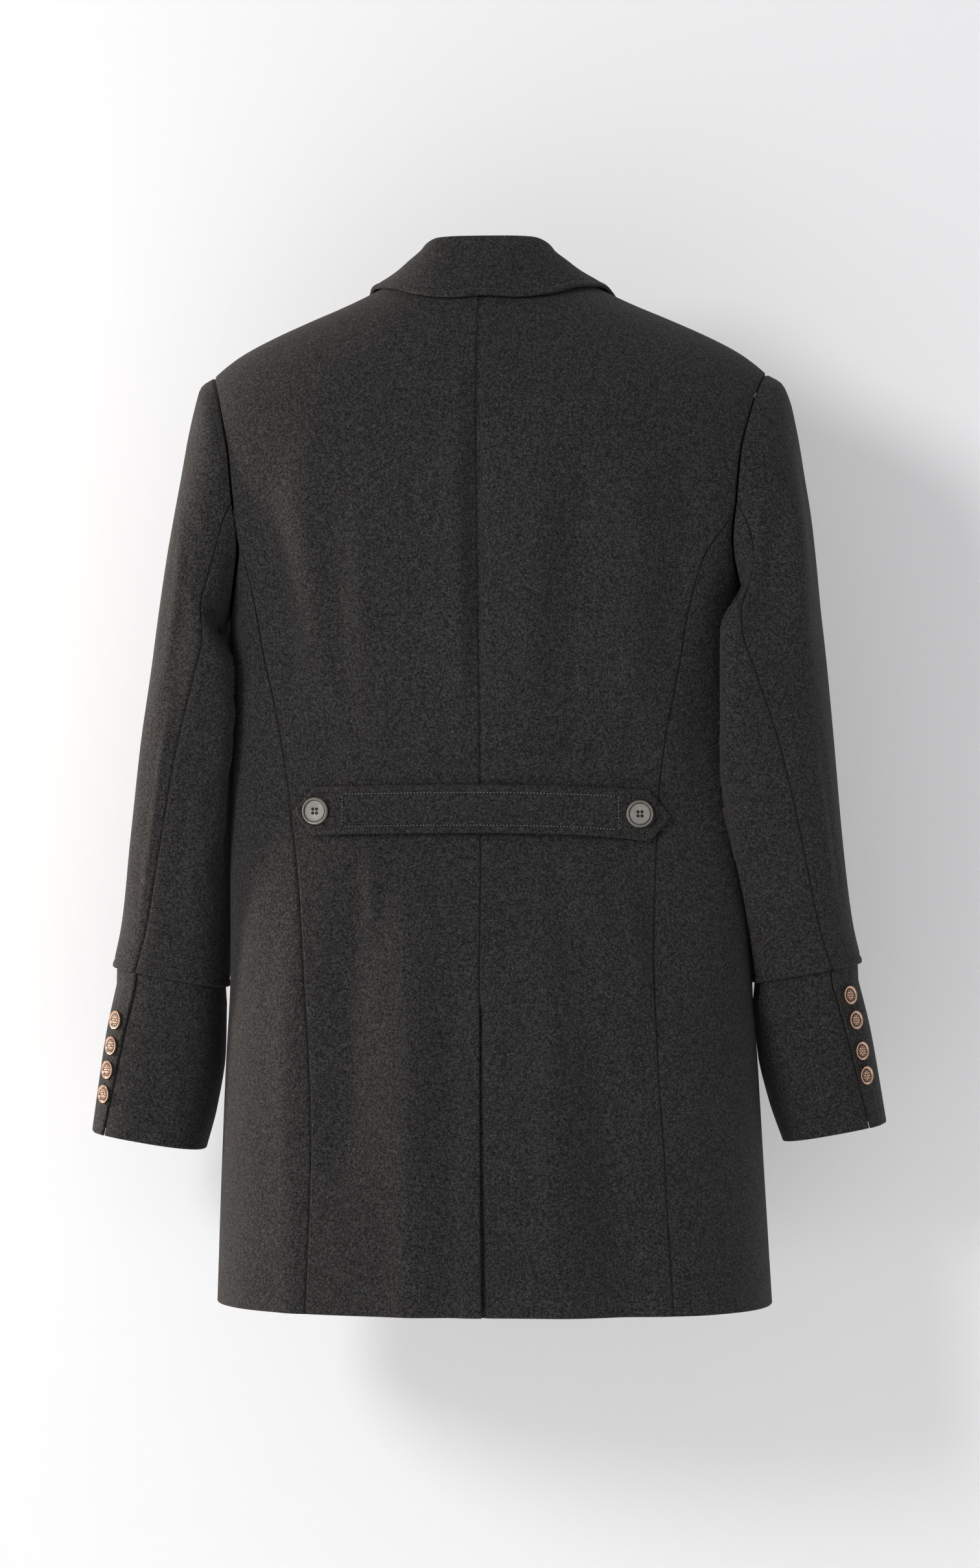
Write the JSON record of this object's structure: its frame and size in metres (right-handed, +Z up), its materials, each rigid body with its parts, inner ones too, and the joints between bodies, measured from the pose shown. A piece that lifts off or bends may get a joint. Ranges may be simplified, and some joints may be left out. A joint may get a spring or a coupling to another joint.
{
  "type": "coat",
  "caption": "Thigh-length double-breasted wool coat with a half belt and turned-back collar, hollow and filled out as worn.",
  "frame": {"origin": "middle of the neck opening, level with the side neck points and in the plane of the shoulder seams, where the wearer's neck and shoulders carry the coat", "axes": "+Z up, the coat's front towards -Y and its back towards +Y, the wearer's left towards +X"},
  "size_m": [0.688, 0.2681, 0.9083],
  "materials": {
    "wool": "matt charcoal wool melton with fine lighter and darker flecks",
    "gilt": "polished rose gold rim with a textured face on a dark ground",
    "horn": "polished grey horn with a paler middle"
  },
  "bodies": {
    "root": {"back_left": "wool", "back_right": "wool", "belt_button_left": "horn", "belt_button_right": "horn", "collar": "wool", "cuff_button_left_1": "gilt", "cuff_button_left_2": "gilt", "cuff_button_left_3": "gilt", "cuff_button_left_4": "gilt", "cuff_button_right_1": "gilt", "cuff_button_right_2": "gilt", "cuff_button_right_3": "gilt", "cuff_button_right_4": "gilt", "cuff_top_left": "wool", "cuff_top_right": "wool", "cuff_under_left": "wool", "cuff_under_right": "wool", "front_button_left_1": "gilt", "front_button_left_2": "gilt", "front_button_left_3": "gilt", "front_button_left_4": "gilt", "front_button_right_1": "gilt", "front_button_right_2": "gilt", "front_button_right_3": "gilt", "front_button_right_4": "gilt", "front_left": "wool", "front_right": "wool", "half_belt": "wool", "lapel_left": "wool", "lapel_right": "wool", "side_left": "wool", "side_right": "wool", "sleeve_top_left": "wool", "sleeve_top_right": "wool", "sleeve_under_left": "wool", "sleeve_under_right": "wool"}
  },
  "joints": []
}
